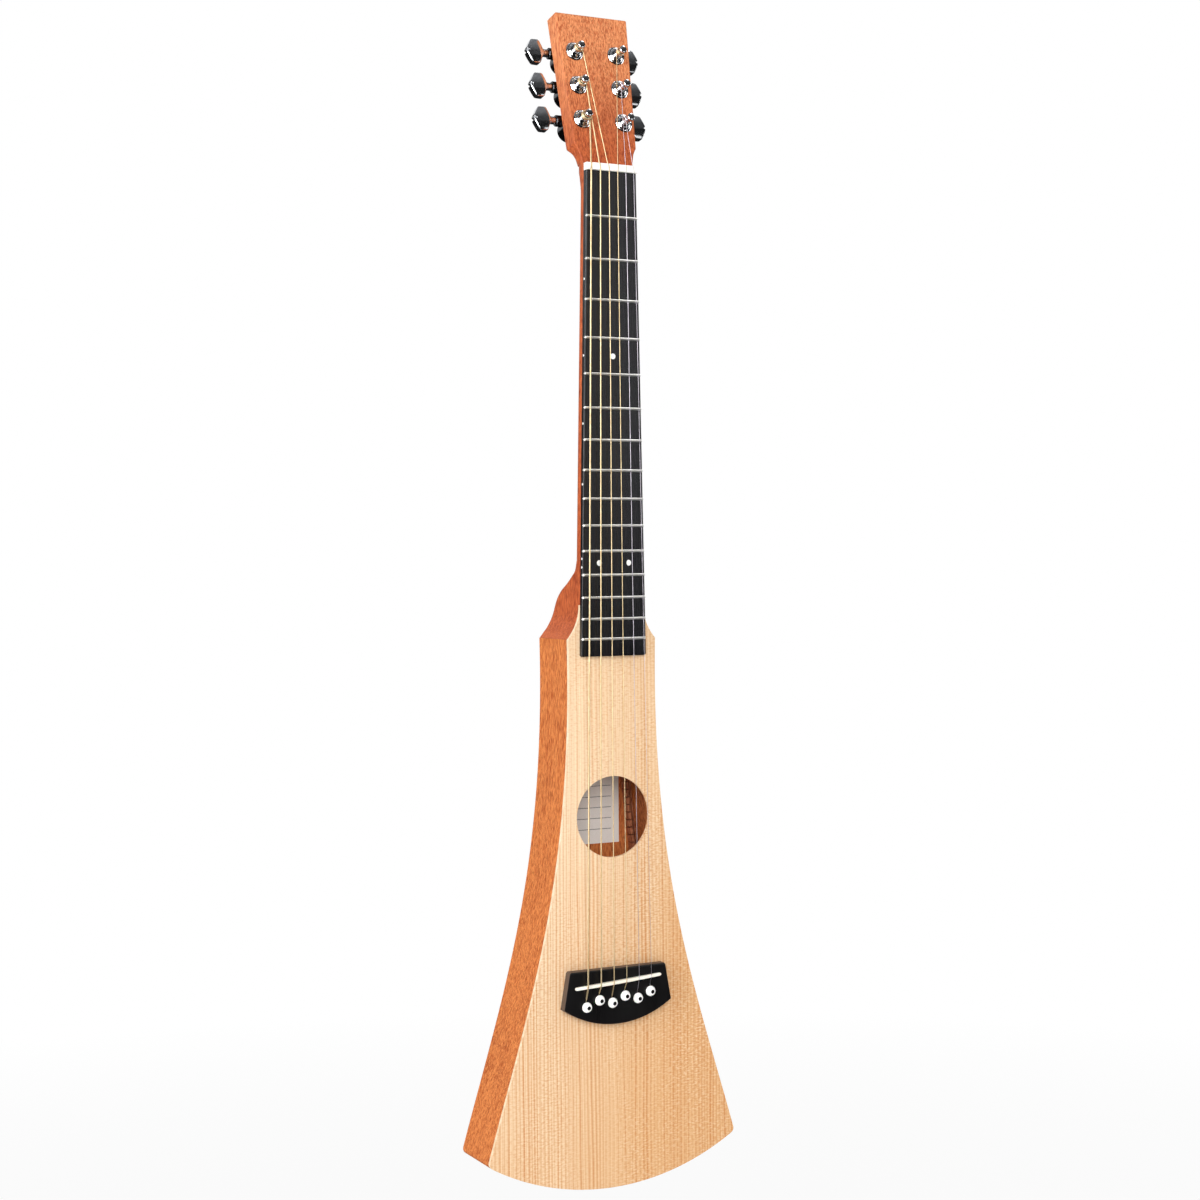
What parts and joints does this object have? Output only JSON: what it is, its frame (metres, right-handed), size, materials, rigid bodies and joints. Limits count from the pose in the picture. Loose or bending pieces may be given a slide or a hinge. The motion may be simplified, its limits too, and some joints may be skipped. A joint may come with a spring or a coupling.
{
  "type": "travel guitar",
  "caption": "Slim travel guitar with a paddle-shaped hollow body, round soundhole, fretted neck with heel, slanted saddle, pinned bridge, wound strings and geared tuning machines",
  "frame": {"origin": "On the guitar's centre line at the front edge of the nut, in the plane where the fingerboard is glued to the neck. The soundboard's outer face lies in the same plane.", "axes": "+X to the treble side, seen from the front to the right when the headstock is up. +Y runs into the body, towards the back plate, so the strings and the soundboard face -Y. +Z runs along the neck towards the headstock."},
  "size_m": [0.211, 0.0619, 0.898],
  "materials": {
    "mahogany": "satin varnished reddish brown mahogany with fine dark pores",
    "spruce": "satin varnished pale straight-grained spruce",
    "fingerboard_black": "smooth black hardwood, dull sheen",
    "bridge_black": "smooth black hardwood, soft sheen",
    "nut_white": "off-white bone substitute, low sheen",
    "saddle_white": "cream bone substitute, low sheen",
    "pin_white": "glossy white with a black dot",
    "fret_wire": "polished nickel silver",
    "tuner_chrome": "polished chrome plate",
    "string_bronze": "bronze wound, slightly dull",
    "string_steel": "plain bright steel",
    "rod_steel": "dark steel"
  },
  "bodies": {
    "guitar": {"neck": "mahogany", "fingerboard": "fingerboard_black", "nut": "nut_white", "soundboard": "spruce", "back": "mahogany", "side_bass": "mahogany", "side_treble": "mahogany", "tail_panel": "mahogany", "bridge": "bridge_black", "saddle": "saddle_white", "bridge_plate": "mahogany", "neck_rod": "rod_steel", "upper_brace": "spruce", "lower_brace": "spruce", "back_brace": "spruce", "fret_01": "fret_wire", "fret_02": "fret_wire", "fret_03": "fret_wire", "fret_04": "fret_wire", "fret_05": "fret_wire", "fret_06": "fret_wire", "fret_07": "fret_wire", "fret_08": "fret_wire", "fret_09": "fret_wire", "fret_10": "fret_wire", "fret_11": "fret_wire", "fret_12": "fret_wire", "fret_13": "fret_wire", "fret_14": "fret_wire", "fret_15": "fret_wire", "bridge_pin_1": "pin_white", "bridge_pin_2": "pin_white", "bridge_pin_3": "pin_white", "bridge_pin_4": "pin_white", "bridge_pin_5": "pin_white", "bridge_pin_6": "pin_white", "string_1": "string_bronze", "string_2": "string_bronze", "string_3": "string_bronze", "string_4": "string_bronze", "string_5": "string_steel", "string_6": "string_steel", "tuner_1_housing": "tuner_chrome", "tuner_2_housing": "tuner_chrome", "tuner_3_housing": "tuner_chrome", "tuner_4_housing": "tuner_chrome", "tuner_5_housing": "tuner_chrome", "tuner_6_housing": "tuner_chrome"},
    "worm_1": {"tuner_1_button": "tuner_chrome"},
    "post_1": {"tuner_1_post": "tuner_chrome"},
    "worm_2": {"tuner_2_button": "tuner_chrome"},
    "post_2": {"tuner_2_post": "tuner_chrome"},
    "worm_3": {"tuner_3_button": "tuner_chrome"},
    "post_3": {"tuner_3_post": "tuner_chrome"},
    "worm_4": {"tuner_4_button": "tuner_chrome"},
    "post_4": {"tuner_4_post": "tuner_chrome"},
    "worm_5": {"tuner_5_button": "tuner_chrome"},
    "post_5": {"tuner_5_post": "tuner_chrome"},
    "worm_6": {"tuner_6_button": "tuner_chrome"},
    "post_6": {"tuner_6_post": "tuner_chrome"}
  },
  "joints": [
    {"name": "tuner_1_turn", "type": "hinge", "parent": "guitar", "child": "worm_1", "pos_m": [-0.0178, 0.03207, 0.04235], "axis": [1, 0, 0], "continuous": true},
    {"name": "post_1_turn", "type": "hinge", "parent": "guitar", "child": "post_1", "pos_m": [-0.0178, 0.03059, 0.03566], "axis": [0, -0.9763, 0.2164], "continuous": true},
    {"name": "tuner_2_turn", "type": "hinge", "parent": "guitar", "child": "worm_2", "pos_m": [-0.0178, 0.03802, 0.06915], "axis": [1, 0, 0], "continuous": true},
    {"name": "post_2_turn", "type": "hinge", "parent": "guitar", "child": "post_2", "pos_m": [-0.0178, 0.03653, 0.06246], "axis": [0, -0.9763, 0.2164], "continuous": true},
    {"name": "tuner_3_turn", "type": "hinge", "parent": "guitar", "child": "worm_3", "pos_m": [-0.0178, 0.04396, 0.09595], "axis": [1, 0, 0], "continuous": true},
    {"name": "post_3_turn", "type": "hinge", "parent": "guitar", "child": "post_3", "pos_m": [-0.0178, 0.04247, 0.08926], "axis": [0, -0.9763, 0.2164], "continuous": true},
    {"name": "tuner_4_turn", "type": "hinge", "parent": "guitar", "child": "worm_4", "pos_m": [0.0178, 0.04396, 0.09595], "axis": [1, 0, 0], "continuous": true},
    {"name": "post_4_turn", "type": "hinge", "parent": "guitar", "child": "post_4", "pos_m": [0.0178, 0.04247, 0.08926], "axis": [0, -0.9763, 0.2164], "continuous": true},
    {"name": "tuner_5_turn", "type": "hinge", "parent": "guitar", "child": "worm_5", "pos_m": [0.0178, 0.03802, 0.06915], "axis": [1, 0, 0], "continuous": true},
    {"name": "post_5_turn", "type": "hinge", "parent": "guitar", "child": "post_5", "pos_m": [0.0178, 0.03653, 0.06246], "axis": [0, -0.9763, 0.2164], "continuous": true},
    {"name": "tuner_6_turn", "type": "hinge", "parent": "guitar", "child": "worm_6", "pos_m": [0.0178, 0.03207, 0.04235], "axis": [1, 0, 0], "continuous": true},
    {"name": "post_6_turn", "type": "hinge", "parent": "guitar", "child": "post_6", "pos_m": [0.0178, 0.03059, 0.03566], "axis": [0, -0.9763, 0.2164], "continuous": true}
  ],
  "couplings": [
    {"joint": "post_1_turn", "follows": "tuner_1_turn", "ratio": 0.071429},
    {"joint": "post_2_turn", "follows": "tuner_2_turn", "ratio": 0.071429},
    {"joint": "post_3_turn", "follows": "tuner_3_turn", "ratio": 0.071429},
    {"joint": "post_4_turn", "follows": "tuner_4_turn", "ratio": 0.071429},
    {"joint": "post_5_turn", "follows": "tuner_5_turn", "ratio": 0.071429},
    {"joint": "post_6_turn", "follows": "tuner_6_turn", "ratio": 0.071429}
  ]
}
